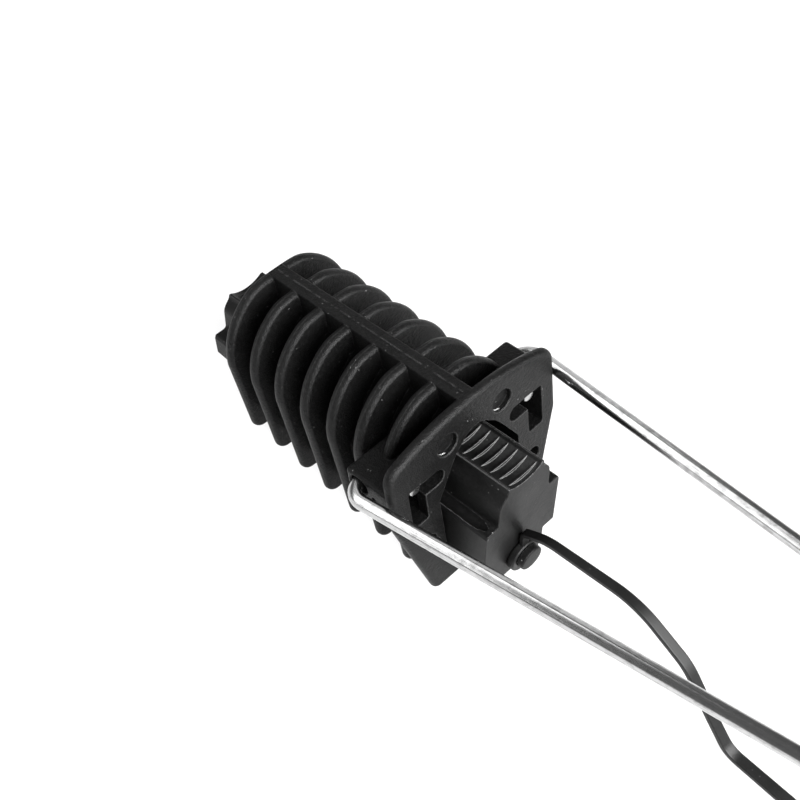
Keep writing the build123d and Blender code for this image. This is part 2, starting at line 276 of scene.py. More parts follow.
grooveRadius = arcRadius(grooveShape["halfWidth"], grooveShape["depth"])
toothEnd = grooveShape["depth"] - grooveRadius + math.sqrt(grooveRadius**2 - toothShape["halfWidth"] ** 2)
toothCrestRadius = arcRadius(toothShape["halfWidth"], toothShape["crestDepth"] - toothEnd)
firstTooth = wedgeShape["grooveFront"] - toothShape["margin"]
noseLimit = firstTooth + gleamReach
tailLimit = wedgeShape["grooveRear"] + toothShape["margin"] - gleamReach


# Materials

def nodeTree(name):
    material = bpy.data.materials.new(name)
    material.use_nodes = True
    tree = material.node_tree
    tree.nodes.clear()
    return material, tree


def addNode(tree, kind, inputs, prefix="ShaderNode", **settings):
    # a node with its settings; an input takes a plain value or another node's output
    node = tree.nodes.new(prefix + kind)
    for name, value in settings.items():
        setattr(node, name, value)
    for key, value in inputs.items():
        if isinstance(value, bpy.types.NodeSocket):
            tree.links.new(value, node.inputs[key])
        else:
            node.inputs[key].default_value = value
    return node.outputs


def grey(value):
    return (value, value, value, 1)


def mathNode(tree, operation, first, second=0.0):
    return addNode(tree, "Math", {0: first, 1: second}, operation=operation)[0]


def both(tree, first, second):
    return mathNode(tree, "MULTIPLY", first, second)


def less(tree, first, second):
    return mathNode(tree, "SUBTRACT", first, second)


def mixColour(tree, factor, first, second, blend="MIX"):
    inputs = {0: factor, 6: first, 7: second}  # Mix keeps its colours in sockets 6 and 7
    return addNode(tree, "Mix", inputs, data_type="RGBA", blend_type=blend)[2]


def ramp(tree, source, stops):
    node = tree.nodes.new("ShaderNodeValToRGB")
    tree.links.new(source, node.inputs[0])
    elements = node.color_ramp.elements
    while len(elements) > 1:
        elements.remove(elements[-1])
    for index, (position, value) in enumerate(stops):
        element = elements[0] if index == 0 else elements.new(position)
        element.position = position
        element.color = grey(value)
    return node.outputs["Color"]


def noise(tree, place, scale, detail, roughness):
    inputs = {"Vector": place, "Scale": scale, "Detail": detail, "Roughness": roughness}
    return addNode(tree, "TexNoise", inputs)["Fac"]


def surface(material, tree, bump, shader):
    normal = addNode(tree, "Bump", bump)["Normal"]
    coat = addNode(tree, "BsdfPrincipled", {**shader, "Normal": normal})["BSDF"]
    addNode(tree, "OutputMaterial", {"Surface": coat})
    return material


def band(tree, value, limits):
    # 1 between low and high, falling off over soft on both sides
    low, high, soft = limits
    rise = mathNode(tree, "DIVIDE", less(tree, value, low - soft), soft)
    fall = mathNode(tree, "DIVIDE", less(tree, high + soft, value), soft)
    within = mathNode(tree, "MINIMUM", mathNode(tree, "MINIMUM", rise, fall), 1.0)
    return mathNode(tree, "MAXIMUM", within, 0.0)


def distance(tree, first, second):
    square = mathNode(tree, "ADD", both(tree, first, first), both(tree, second, second))
    return mathNode(tree, "SQRT", square)


def inGrip(tree, place):
    # the place in millimetres in the grip frame: along the cable, across it and up
    spot, turn, size = gripToFrame.inverted().decompose()
    inputs = {"Vector": place, "Location": spot, "Rotation": turn.to_euler("XYZ"), "Scale": size}
    grip = addNode(tree, "Mapping", inputs)["Vector"]
    return addNode(tree, "SeparateXYZ", {0: grip})


# Painted highlight on the lower wall of each blind recess; bands are (low, high, softness) in millimetres
recessLight = {
    "across": -0.6, "up": -0.8, "arcShare": 0.9, "arcEnd": 9.0, "arcSoft": 0.3, "wall": 0.05, "wallSoft": 0.1,
    "depth": (-1.55, -1.2, 0.15),
}


def recessGleam(tree, place):
    along, across, height = inGrip(tree, place)
    light, radius = recessLight, recessShape["radius"]
    arc = (radius * light["arcShare"], light["arcEnd"], light["arcSoft"])
    wall = (radius - light["wall"], radius + light["wall"], light["wallSoft"])
    marks = []
    for side in (-1, 1):
        y = less(tree, across, side * recessShape["spacing"])
        z = less(tree, height, recessShape["height"])
        low = mathNode(tree, "ADD", both(tree, y, light["across"]), both(tree, z, light["up"]))
        marks.append(both(tree, band(tree, low, arc), band(tree, distance(tree, y, z), wall)))
    return both(tree, mathNode(tree, "MAXIMUM", *marks), band(tree, along, light["depth"]))


# Painted highlights on the teeth: a band ahead of each tooth's face, a band of depth under its crest or under the
# groove's floor, and a strength. The floor's first band is across the groove, a painted light on one side of its
# floor;
# the rim's are from the land's outer edge and from the rim's height.
toothLight = {
    "crest": ((-0.1, 0.05, 0.05), (-0.3, 0.06, 0.06), 1.0),
    "root": ((-0.06, 0.1, 0.05), (-0.3, 0.02, 0.04), 1.0),
    "front": ((-0.08, 0.08, 0.03), (-2.0, -0.1, 0.1), 0.03),
    "floor": ((2.0, 9.0, 5.0), (-0.06, 0.3, 0.03), 0.12),
    "rim": ((-0.28, 0.1, 0.08), (-0.3, 0.2, 0.08), 0.45),
    "sideSoft": 0.2, "endSoft": 0.1,
}


def toothGleam(tree, place):
    along, across, height = inGrip(tree, place)
    pitch, half = toothShape["pitch"], toothShape["halfWidth"]
    face = firstTooth + toothShape["thickness"] / 2
    ahead = mathNode(tree, "FLOORED_MODULO", less(tree, along, face - pitch / 2), pitch)
    ahead = less(tree, ahead, pitch / 2)

    def depthIn(radius, depth):
        # distance from the surface of an arc that dips by depth, into the material
        drop = less(tree, wedgeShape["rim"] - depth + radius, height)
        return less(tree, distance(tree, across, drop), radius)

    def gleam(name, first, second):
        *bands, strength = toothLight[name]
        return both(tree, both(tree, band(tree, first, bands[0]), band(tree, second, bands[1])), strength)

    underCrest = depthIn(toothCrestRadius, toothShape["crestDepth"])
    underFloor = depthIn(grooveRadius, grooveShape["depth"])
    shine = gleam("crest", ahead, underCrest)
    for name, first in (("root", ahead), ("front", ahead), ("floor", across)):
        shine = mathNode(tree, "MAXIMUM", shine, gleam(name, first, underFloor))
    aside = band(tree, across, (-half, half, toothLight["sideSoft"]))
    beside = band(tree, along, (tailLimit, noseLimit, toothLight["endSoft"]))
    shine = both(tree, shine, both(tree, aside, beside))
    beyond = less(tree, mathNode(tree, "ABSOLUTE", across), wedgeShape["land"])
    above = less(tree, height, wedgeShape["rim"])
    return mathNode(tree, "MAXIMUM", shine, gleam("rim", beyond, above))


# Noises are (scale, detail, roughness); ramps are their stops
nylonTexture = {
    "cloud": (60, 4, 0.6), "fine": (900, 3, 0.65), "pits": (2600, 2, 0.5), "pitShare": 0.4,
    "bumpHeight": 0.0005, "mottled": [(0.45, 0.0), (0.75, 0.35)],
    "sheenSpecks": (1100, 3, 0.7), "sheenBreakup": [(0.38, 0.25), (0.62, 1.0)],
    "speckScale": 420, "speck": [(0.04, 1.0), (0.1, 0.0)],
    "patches": (150, 3, 0.7), "patch": [(0.5, 0.0), (0.6, 1.0)],
    "teeth": [(0.3, 0.6), (0.6, 1.0)], "recess": [(0.35, 0.2), (0.55, 1.0)],
    "edgeRadius": 0.00036, "edgeTurn": [(0.015, 0.0), (0.09, 1.0)], "samples": 6,
    "cavityReach": 0.0009, "openness": [(0.6, 0.0), (0.85, 1.0)],
}
# greys mixed into the base colour: pale is random mottle and dust is specks; edge, teeth and recess are painted
# highlights
nylonFinishes = {
    "shell": {
        "tone": [(0.3, 0.001), (0.7, 0.002)], "rough": [(0.3, 0.36), (0.7, 0.48)],
        "pale": 0.01, "dust": 0.16, "edge": 0.055, "recess": 0.45, "grain": 1.0, "gloss": 0.13,
    },
    "wedge": {
        "tone": [(0.3, 0.0014), (0.7, 0.003)], "rough": [(0.3, 0.38), (0.7, 0.52)],
        "pale": 0.011, "dust": 0.2, "edge": 0.11, "teeth": 0.07, "grain": 0.25, "gloss": 0.13,
    },
    "tether": {
        "tone": [(0.3, 0.002), (0.7, 0.004)], "rough": [(0.3, 0.36), (0.7, 0.46)],
        "pale": 0.006, "dust": 0.04, "edge": 0.03, "grain": 0.1, "gloss": 0.2,
    },
}


def edgeMask(tree):
    # 1 on edges that stand out, where a highlight is painted, 0 on faces and in inner corners; also gives the
    # softened normal
    look = nylonTexture
    soft = addNode(tree, "Bevel", {"Radius": look["edgeRadius"]}, samples=look["samples"])[0]
    normal = addNode(tree, "NewGeometry", {})["Normal"]
    agree = addNode(tree, "VectorMath", {0: soft, 1: normal}, operation="DOT_PRODUCT")["Value"]
    turn = ramp(tree, less(tree, 1.0, agree), look["edgeTurn"])
    reach, samples = {"Distance": look["cavityReach"]}, look["samples"]
    cavity = addNode(tree, "AmbientOcclusion", reach, samples=samples, only_local=True)["AO"]
    mask = mixColour(tree, 1.0, turn, ramp(tree, cavity, look["openness"]), "MULTIPLY")
    return mask, soft


def nylon(name, finish):
    # glass-filled nylon: satin black, slightly cloudy, finely pitted and dusty, with a painted highlight in specks
    # on its edges, and painted highlights on teeth and recess walls where the finish has them
    material, tree = nodeTree(name)
    look = nylonTexture
    place = addNode(tree, "TexCoord", {})["Object"]
    cloud, fine, pits = [noise(tree, place, *look[layer]) for layer in ("cloud", "fine", "pits")]
    edge, softNormal = edgeMask(tree)
    # a painted highlight along the edges, broken into specks by this noise
    sheenBreakup = ramp(tree, noise(tree, place, *look["sheenSpecks"]), look["sheenBreakup"])
    cells = {"Vector": place, "Scale": look["speckScale"], "Randomness": 1.0}
    speck = ramp(tree, addNode(tree, "TexVoronoi", cells)["Distance"], look["speck"])
    patch = ramp(tree, noise(tree, place, *look["patches"]), look["patch"])
    layers = {
        "pale": ramp(tree, fine, look["mottled"]),
        "edge": mixColour(tree, 1.0, edge, sheenBreakup, "MULTIPLY"),
        "dust": mixColour(tree, 1.0, speck, patch, "MULTIPLY"),
    }
    # painted highlights on the teeth and on the recess walls
    for mark, gleam in (("teeth", toothGleam), ("recess", recessGleam)):
        if mark in finish:
            layers[mark] = both(tree, gleam(tree, place), ramp(tree, fine, look[mark]))
    base = ramp(tree, cloud, finish["tone"])
    for layer, mask in layers.items():
        base = mixColour(tree, mask, base, grey(finish[layer]))
    return surface(material, tree, {
        "Strength": finish["grain"], "Distance": look["bumpHeight"], "Normal": softNormal,
        "Height": mixColour(tree, look["pitShare"], fine, pits),
    }, {
        "Base Color": base, "Roughness": ramp(tree, cloud, finish["rough"]),
        "Specular IOR Level": finish["gloss"],
    })


# Streaks and mottle are a stretch along the wire and round it, and the noise's detail and roughness
wireFinish = {
    "tone": [(0.36, 0.26), (0.52, 0.52), (1.0, 0.52)], "rough": [(0.3, 0.26), (0.7, 0.14)],
    "share": 0.5, "grain": 0.1, "bumpHeight": 0.0002,
    "streaks": ((14.0, 34.0, 1.0), 5, 0.6), "mottle": ((260.0, 7.0, 1.0), 4, 0.65),
}


def drawnSteel(name, finish):
    # bright drawn wire: die marks along it, crossed by dull mottling; its UV map is length and way round
    material, tree = nodeTree(name)
    uv = addNode(tree, "TexCoord", {})["UV"]
    marks = []
    for stretch, detail, roughness in (finish["streaks"], finish["mottle"]):
        place = addNode(tree, "Mapping", {"Vector": uv, "Scale": stretch})["Vector"]
        marks.append(noise(tree, place, 1.0, detail, roughness))
    mark = mixColour(tree, finish["share"], *marks)
    bump = {"Strength": finish["grain"], "Distance": finish["bumpHeight"], "Height": mark}
    return surface(material, tree, bump, {
        "Metallic": 1.0, "Base Color": ramp(tree, mark, finish["tone"]),
        "Roughness": ramp(tree, mark, finish["rough"]),
    })


shellNylon = nylon("shellNylon", nylonFinishes["shell"])
wedgeNylon = nylon("wedgeNylon", nylonFinishes["wedge"])
tetherNylon = nylon("tetherNylon", nylonFinishes["tether"])
bailSteel = drawnSteel("bailSteel", wireFinish)
print("materials made")


# Fins: one domed plate, repeated along the cable

finShape = {
    "count": 7, "pitch": 13.5, "thickness": 4.4, "firstFront": 12.45, "domeRadius": 28.4, "domeHeight": 47.7,
    "footHalfWidth": 25.6, "footRounding": 4.0, "rimRound": 1.6, "rimStretch": 1.25, "ridge": 0.05,
    "ridgeHalf": 0.1, "flatTop": 74.5, "flatBlend": 1.6,
}
firstTip = tipHeight(-finShape["firstFront"] - finShape["thickness"] / 2)


def softMinimum(first, second, blend):
    # the lesser of two heights, with a soft change from one to the other
    share = max(blend - abs(first - second), 0) / blend
    return min(first, second) - share * share * blend / 4


def finOutline():
    shape = finShape
    radius, height = shape["domeRadius"], shape["domeHeight"]
    corners = [(0, firstTip), (shape["footHalfWidth"], firstTip), (radius, height), (0, height)]
    foot = roundCorners(corners, [0, shape["footRounding"], 0, 0])[1:-2]
    arc = arcPoints((0, height), radius, 0, 180, 64)
    return foot + [(y, softMinimum(z, shape["flatTop"], shape["flatBlend"])) for y, z in arc] + mirrored(foot)


def finRim():
    # rounded on both sides of a fine parting ridge
    shape = finShape
    middle = -shape["thickness"] / 2
    profile = [(-shape["rimStretch"] * back, depth) for depth, back in quarterRound(shape["rimRound"], 6)]
    profile += [(middle + shape["ridgeHalf"], 0.0), (middle, -shape["ridge"])]
    return profile + [(2 * middle - x, depth) for x, depth in reversed(profile[:-1])]


# Geometry Nodes repeats: a shape set along the cable at a fixed pitch

def socketKind(value):
    kinds = {int: "Int", float: "Float", bpy.types.Object: "Object", bpy.types.Material: "Material"}
    return "NodeSocket" + next(label for kind, label in kinds.items() if isinstance(value, kind))


def reshaped(tree, kind, inputs, **settings):
    return addNode(tree, kind, inputs, "GeometryNode", **settings)[0]


def repeated(name, inputs, build):
    # runs a tree with these named inputs once, keeps its plain mesh and removes the objects it used
    tree = bpy.data.node_groups.new(name, "GeometryNodeTree")
    keys = {}
    for label, value in inputs.items():
        socket = tree.interface.new_socket(label, in_out="INPUT", socket_type=socketKind(value))
        if isinstance(value, (int, float)):
            socket.default_value = value
        keys[label] = socket.identifier
    tree.interface.new_socket("Geometry", in_out="OUTPUT", socket_type="NodeSocketGeometry")
    entry = tree.nodes.new("NodeGroupInput").outputs
    real = reshaped(tree, "RealizeInstances", {"Geometry": build(tree, entry)})
    coat = reshaped(tree, "SetMaterial", {"Geometry": real, "Material": entry["Material"]})
    addNode(tree, "GroupOutput", {"Geometry": coat}, "Node")
    carrier = newObject(name, bpy.data.meshes.new(name))
    step = carrier.modifiers.new(name, "NODES")
    step.node_group = tree
    for label, value in inputs.items():
        step[keys[label]] = value
    applied(carrier)
    for value in inputs.values():
        if isinstance(value, bpy.types.Object):
            bpy.data.objects.remove(value)
    return carrier


def rowOf(tree, entry, shape, x, z=0.0):
    # instances from (x, 0, z) towards the tail
    start = addNode(tree, "CombineXYZ", {"X": x, "Z": z})[0]
    offset = addNode(tree, "CombineXYZ", {"X": both(tree, entry["Pitch"], -1.0)})[0]
    inputs = {"Count": entry["Count"], "Start Location": start, "Offset": offset}
    points = reshaped(tree, "MeshLine", inputs)
    source = addNode(tree, "ObjectInfo", {"Object": entry[shape]}, "GeometryNode")["Geometry"]
    return reshaped(tree, "InstanceOnPoints", {"Points": points, "Instance": source})


def finRow(tree, entry):
    # every fin has the same dome, and is drawn out to its own tip below it
    row = rowOf(tree, entry, "Fin", both(tree, entry["First front"], -1.0))
    store = {"Geometry": row, "Name": "finNumber", "Value": reshaped(tree, "InputIndex", {})}
    row = reshaped(tree, "StoreNamedAttribute", store, data_type="INT", domain="INSTANCE")
    row = reshaped(tree, "RealizeInstances", {"Geometry": row})
    number = reshaped(tree, "InputNamedAttribute", {"Name": "finNumber"}, data_type="INT")
    height = addNode(tree, "SeparateXYZ", {0: reshaped(tree, "InputPosition", {})})["Z"]
    lift = both(tree, both(tree, number, entry["Pitch"]), entry["Slope"])
    below = mathNode(tree, "MAXIMUM", less(tree, entry["Dome height"], height), 0.0)
    reach = less(tree, entry["Dome height"], entry["First tip"])
    rise = both(tree, lift, mathNode(tree, "DIVIDE", below, reach))
    offset = addNode(tree, "CombineXYZ", {"Z": rise})[0]
    return reshaped(tree, "SetPosition", {"Geometry": row, "Offset": offset})


def makeFins():
    return repeated("fins", {
        "Count": finShape["count"], "Pitch": finShape["pitch"], "First front": finShape["firstFront"],
        "Slope": math.tan(baseTaper), "Dome height": finShape["domeHeight"], "First tip": firstTip,
        "Fin": plate("finShape", finOutline(), finRim()), "Material": shellNylon,
    }, finRow)


# Channel through the shell, with a rail along each side of its open bottom

channelShape = {
    "radius": 7.5, "height": 54.9, "archHalfAngle": 50, "roof": (8.7, 57.3), "eave": (11.6, 53.2),
    "corner": (18.7, 41.3), "halfWidth": 18.1, "railTop": 12.6, "railThickness": 4.0, "railGap": 13.0,
    "wall": 3.0, "past": 20, "below": -40, "skinDrop": 8, "skinFront": -1.0,
}
shellRear = -finShape["firstFront"] - (finShape["count"] - 1) * finShape["pitch"] - finShape["thickness"]


def ceiling():
    # right half from the top down
    shape = channelShape
    arch = arcPoints((0, shape["height"]), shape["radius"], 90, 90 - shape["archHalfAngle"], 10)
    return arch + [shape["roof"], shape["eave"], shape["corner"]]


def channelRing(x):
    shape = channelShape
    railTop = tipHeight(x) + shape["railTop"]
    gap = shape["railGap"]
    half = ceiling() + [(shape["halfWidth"], railTop), (gap, railTop), (gap, shape["below"])]
    return ringAt(x, half + mirrored(half[1:]))


def channelCutter():
    past = channelShape["past"]
    return loft("channelCutter", [channelRing(past), channelRing(shellRear - past)])


def skinRing(x):
    shape = channelShape
    bottom = tipHeight(x) + shape["railTop"] - shape["railThickness"]
    half = ceiling() + [(shape["halfWidth"], bottom - shape["skinDrop"])]
    outline = inset(half + mirrored(half[1:]), -shape["wall"])
    return ringAt(x, [(y, max(z, bottom)) for y, z in outline])


def makeSkin():
    return loft("skin", [skinRing(channelShape["skinFront"]), skinRing(shellRear)])


# Spine along the top of the fins, with the mould's broken flash down its middle

spineShape = {
    "halfWidth": 3.4, "top": 74.9, "low": 60.5, "rounding": 0.8,
    "ends": [(0.9, -0.6), (1.5, 0.0)],  # a chamfer at the rear, as distance in and lift
    "front": -2.0,
}
flashShape = {
    "halfWidth": 0.35, "tip": 0.14, "foot": -0.5, "height": 0.2, "sunk": -0.12, "front": -4.4, "rear": 3.0,
    "step": 1.1, "waves": [(1.7, 0.0), (0.61, 2.0), (3.1, 1.0)], "break": -0.9, "ripple": (0.8, 0.2, 5.3),
}


def makeSpine():
    shape = spineShape
    half, low, rounding = shape["halfWidth"], shape["low"], shape["rounding"]
    rings = []
    for x, lift in [(shellRear + x, lift) for x, lift in shape["ends"]] + [(shape["front"], 0.0)]:
        top = shape["top"] + lift
        corners = [(-half, low), (half, low), (half, top), (-half, top)]
        rings.append(ringAt(x, roundCorners(corners, [0, 0, rounding, rounding], 4)))
    return loft("spine", rings)


def makeFlash():
    # a fine ridge that sinks under the surface here and there
    shape, top = flashShape, spineShape["top"]
    half, tip, foot = shape["halfWidth"], shape["tip"], top + shape["foot"]
    level, swing, rippleRate = shape["ripple"]
    rings = []
    x, count = shape["front"], 0
    while x > shellRear + shape["rear"]:
        count += 1
        wave = sum(math.sin(count * rate + shift) for rate, shift in shape["waves"])
        height = shape["height"] if wave > shape["break"] else shape["sunk"]
        rise = top + height * (level + swing * math.sin(count * rippleRate))
        rings.append(ringAt(x, [(-half, foot), (half, foot), (tip, rise), (-tip, rise)]))
        x -= shape["step"]
    return loft("flash", rings)


# Flange at the mouth, with its bent windows, recesses and small holes

flangeShape = {
    "thickness": 4.4, "halfWidth": 37.5, "top": 75.0, "archRadius": 102.0, "shoulder": 41.0,
    "archPoints": range(27, -28, -3), "footHalfWidth": 25.4, "bottom": -1.9, "roundings": [3.0, 6.0, 6.5],
    "rimRound": 2.0,
}


def archHeight(y):
    radius = flangeShape["archRadius"]
    return flangeShape["top"] - radius + math.sqrt(radius**2 - y**2)


def flangeOutline():
    # the top is a low arch from corner to corner
    shape = flangeShape
    half = [
        (shape["footHalfWidth"], shape["bottom"]),
        (shape["halfWidth"], shape["shoulder"]),
        (shape["halfWidth"], archHeight(shape["halfWidth"])),
    ]
    arch = [(y, archHeight(y)) for y in shape["archPoints"]]
    roundings = shape["roundings"]
    return roundCorners(half + arch + mirrored(half), roundings + [0] * len(arch) + roundings[::-1], 10)


def makeFlange():
    rim = [(-back, depth) for depth, back in quarterRound(flangeShape["rimRound"], 6)]
    rim += [(-flangeShape["thickness"] - x, depth) for x, depth in reversed(rim)]
    return plate("flange", flangeOutline(), rim)


windowShape = {
    "inner": 15.3, "outer": 30.7, "legInner": 24.0, "top": 55.9, "sill": 49.4, "bottom": 38.0,
    "rounding": 0.8, "armShare": 0.98, "depth": flangeShape["thickness"] + 0.02, "flare": 0.18,
}
smallHoleShape = {"radius": 3.2, "spacing": 25.0, "height": 25.5, "depth": 6.6, "flare": 0.25}


def windowCutter():
    shape = windowShape
    inner, leg, outer = shape["inner"], shape["legInner"], shape["outer"]
    top, sill, bottom = shape["top"], shape["sill"], shape["bottom"]
    arm, small = (top - sill) / 2 * shape["armShare"], shape["rounding"]
    outline = roundCorners(
        [(inner, sill), (leg, sill), (leg, bottom), (outer, bottom), (outer, top), (inner, top)],
        [arm, 0.0, small, small, small, arm], 8,
    )
    return mirrorPair("windows", plate("window", outline, flared(shape["depth"], shape["flare"])))


def roundCutter(name, shape):
    outline = circle((shape["spacing"], shape["height"]), shape["radius"], 48)
    return mirrorPair(name, plate(name, outline, flared(shape["depth"], shape["flare"])))


# Lug on each side that the bail hooks into

lugShape = {
    "rear": -21.8, "inner": 20.5, "outer": 37.3, "top": 58.3, "bottom": 48.6, "rounding": 1.2,
    "cheekFront": -10.5, "notchTop": 54.4, "pocketSide": 0.7, "pocketRoof": 56.7, "pocketRear": 0.8,
    "holeGap": 0.75, "holeStretch": 1.4, "holeLead": 0.1, "holeFlare": 0.5, "ductWall": 2.4,
    "ductFoot": 0.5, "ductHead": 0.3, "sunk": 3, "cheekRounding": 1.0, "outerSlack": 0.3, "past": 1,
}
bailShape = {
    "wireRadius": 2.5, "height": 53.8, "rise": 2.2, "drop": 3.3, "legOffset": 40.45, "toe": 6.21, "bend": 6.4,
    "loopRadius": 20.5, "loopCentre": 182.0, "hookInner": 26.5, "hookTip": -1.6, "hookStations": (-5.0, -8.0),
    "tipRound": 0.7, "legSteps": 40,
}
toe = math.radians(bailShape["toe"])
hookX = lugShape["cheekFront"] - lugShape["holeLead"]
innerBendY = bailShape["hookInner"] + bailShape["bend"]
outerBendY = bailShape["legOffset"] - math.tan(toe) * hookX - bailShape["bend"] / math.cos(toe)


def makeLugs():
    shape = lugShape
    low = (shape["rear"], shape["inner"] - shape["sunk"], shape["bottom"])
    high = (-flangeShape["thickness"] / 2, shape["outer"], shape["top"])
    return mirrorPair("lugs", box("lug", low, high, shape["rounding"]))


def makeDucts():
    # a floor and an outer wall that close the space behind each window; the wall runs into floor and lug
    window, lug = windowShape, lugShape
    rear, front = -finShape["firstFront"] - finShape["thickness"] / 2, -flangeShape["thickness"] / 2
    outer, low = window["outer"] + lug["ductWall"], window["bottom"] - lug["ductWall"]
    floor = box("ductFloor", (rear, lug["inner"] - lug["sunk"], low), (front, outer, window["bottom"]))
    foot, head = low + lug["ductFoot"], lug["bottom"] + lug["ductHead"]
    side = box("ductSide", (rear, window["outer"], foot), (front, outer, head))
    return mirrorPair("ducts", combine(floor, [side], "UNION"))


def lugCutters():
    # a pocket for the hook, a notch ahead of the cheek, and a slot in the outer face for the leg
    shape, wire = lugShape, bailShape["wireRadius"]
    front, low, face = -flangeShape["thickness"], shape["bottom"] - shape["sunk"], shape["outer"]
    inner = bailShape["hookInner"] - wire - shape["pocketSide"]
    outer = bailShape["hookInner"] + wire + shape["pocketSide"] + shape["outerSlack"]
    rear = hinge["x"] - wire - shape["pocketRear"]
    pocket = box("pocket", (rear, inner, low + shape["past"]), (front, outer, shape["pocketRoof"]))
    cheek, notchTop = shape["cheekFront"], shape["notchTop"]
    corner = min(cheek + notchTop - shape["bottom"], front)
    outline = [(cheek, low), (cheek, notchTop), (corner, shape["bottom"]), (corner, low)]
    outline = roundCorners(outline, [0, shape["cheekRounding"], 0, 0])
    flare, past = shape["holeFlare"], face + shape["past"]
    notch = loft("notch", [[(x, y, z) for x, z in outline] for y in (outer - flare, past)])
    radius, height = wire + shape["holeGap"], bailShape["height"]
    rearX = hinge["x"] + shape["holeLead"]
    slot = arcPoints((rearX + shape["holeStretch"], height), radius, -90, 90, 16)
    slot += arcPoints((rearX, height), radius, 90, 270, 16)
    stations = (((inner + outer) / 2, 0), (face - flare, 0), (face, flare), (past, flare))
    hole = loft("hole", [[(x, y, z) for x, z in inset(slot, -grow)] for y, grow in stations])
    return [mirrorPair("pockets", pocket), mirrorPair("notches", notch), mirrorPair("holes", hole)]


def makeShell():
    shell = combine(makeFins(), [makeSkin(), makeSpine(), makeFlash(), makeFlange(), makeLugs()], "UNION")
    combine(shell, lugCutters(), "DIFFERENCE")
    combine(shell, [makeDucts()], "UNION")
    holes = [roundCutter("recesses", recessShape), roundCutter("smallHoles", smallHoleShape)]
    combine(shell, [windowCutter(), *holes, channelCutter()], "DIFFERENCE")
    finished(shell, "shell", "shell", "clamp_body", shellNylon)


makeShell()


# Wedge, drawn along the rails, with its toothed groove and the peg on its nose

noseSteps = {"lip": 3.4, "block": 6.1, "shoulder": 18.0, "side": 19.5}
tailSteps = {"lip": 1.6, "block": 5.1, "shoulder": 15.2, "side": 16.7}


def alongRails(x, z):
    cosine, sine = math.cos(baseTaper), math.sin(baseTaper)
    return x * cosine - z * sine, x * sine + z * cosine


noseX, noseTop = alongRails(wedgeShape["grooveFront"], wedgeShape["rim"])
tailX, tailTop = alongRails(wedgeShape["grooveRear"], wedgeShape["rim"])


def wedgeRing(x, top, sideHalf, steps, shrink):
    shape = wedgeShape
    sideBottom = channelShape["railTop"] * math.cos(baseTaper) + shape["railClearance"]
    half = [
        (shape["land"], top),
        (shape["land"] + shape["lipSpread"], top - steps["lip"]),
        (shape["block"] - shape["draft"], top - steps["block"]),
        (shape["block"], top - steps["shoulder"]),
        (sideHalf - shape["draft"], top - steps["shoulder"]),
        (sideHalf, top - steps["side"]),
        (sideHalf, sideBottom),
        (shape["keel"], sideBottom),
        (shape["keel"], shape["keelClearance"]),
    ]
    roundings = shape["roundings"]
    outline = roundCorners(half + mirrored(half), roundings + roundings[::-1], 4)
    return ringAt(x, inset(outline, shrink))


def makeWedgeBlock():
    # both end faces have a rounded edge; the rings run from the tail's face to the nose's
    edge = quarterRound(wedgeShape["edge"], 3)
    tailHalf, noseHalf = wedgeShape["tail"], wedgeShape["shoulder"]
    tail = [wedgeRing(tailX + back, tailTop, tailHalf, tailSteps, shrink) for back, shrink in edge]
    nose = [wedgeRing(noseX - back, noseTop, noseHalf, noseSteps, shrink) for back, shrink in edge]
    item = loft("wedgeBlock", tail[::-1] + nose)
    item.data.transform(wedgeToGrip)
    return item


def turned(name, profile, steps=48):
    # a solid of revolution about X from (x, radius) points
    return loft(name, [ringAt(x, circle((0, 0), radius, steps)) for x, radius in profile])


pegShape = {
    "depth": 44.0, "radius": 2.9, "sunk": -1.0, "headRadius": 4.85, "headThickness": 2.6, "headRound": 0.6,
    "headBevel": 0.15, "dome": 0.05, "domeShare": 0.55, "eyeletGap": 0.2,
}
eyeletShape = {"thickness": 3.0, "radius": 6.7, "hole": 4.3, "slack": 0.1, "round": 0.7}
pegHeight = noseTop - pegShape["depth"]


def makePeg():
    shape = pegShape
    radius, head, bevel = shape["radius"], shape["headRadius"], shape["headBevel"]
    neck = eyeletShape["thickness"] + 2 * shape["eyeletGap"]
    end = neck + shape["headThickness"]
    profile = [(shape["sunk"], radius), (neck, radius), (neck, head - bevel), (neck + bevel, head)]
    profile += [(end - back, head - shrink) for back, shrink in quarterRound(shape["headRound"], 5)]
    profile.append((end + shape["dome"], head * shape["domeShare"]))
    item = turned("peg", profile)
    item.data.transform(wedgeToGrip @ Matrix.Translation((noseX, 0, pegHeight)))
    return item


def toothRow(tree, entry):
    return rowOf(tree, entry, "Tooth", entry["Front"], entry["Rim height"])


def toothOutline():
    # the crest's arc, measured from the groove's rim, and a root that runs into the block
    shape = toothShape
    radius = toothCrestRadius
    end = (shape["halfWidth"] + grooveShape["halfWidth"]) / 2
    turn = math.degrees(math.asin(end / radius))
    crest = arcPoints((0, radius - shape["crestDepth"]), radius, -90 - turn, -90 + turn, 24)
    low = -2 * grooveShape["depth"]
    return crest + [(end, low), (-end, low)]


def makeTeeth():
    shape = toothShape
    half, rim = shape["thickness"] / 2, shape["round"]
    corner = rim * shape["roundShare"]
    front = [(half, rim), (half - corner, corner), (half - rim, 0)]
    tooth = plate("tooth", toothOutline(), front + [(-x, depth) for x, depth in reversed(front)])
    length = wedgeShape["grooveFront"] - wedgeShape["grooveRear"] - 2 * shape["margin"]
    return repeated("teeth", {
        "Count": int(length / shape["pitch"]) + 1, "Pitch": shape["pitch"],
        "Front": firstTooth, "Rim height": wedgeShape["rim"],
        "Tooth": tooth, "Material": wedgeNylon,
    }, toothRow)


def makeGroove():
    ends = (wedgeShape["grooveFront"] + grooveShape["past"], wedgeShape["grooveRear"] - grooveShape["past"])
    item = turned("groove", [(x, grooveRadius) for x in ends], 160)
    item.data.transform(Matrix.Translation((0, 0, wedgeShape["rim"] - grooveShape["depth"] + grooveRadius)))
    return item


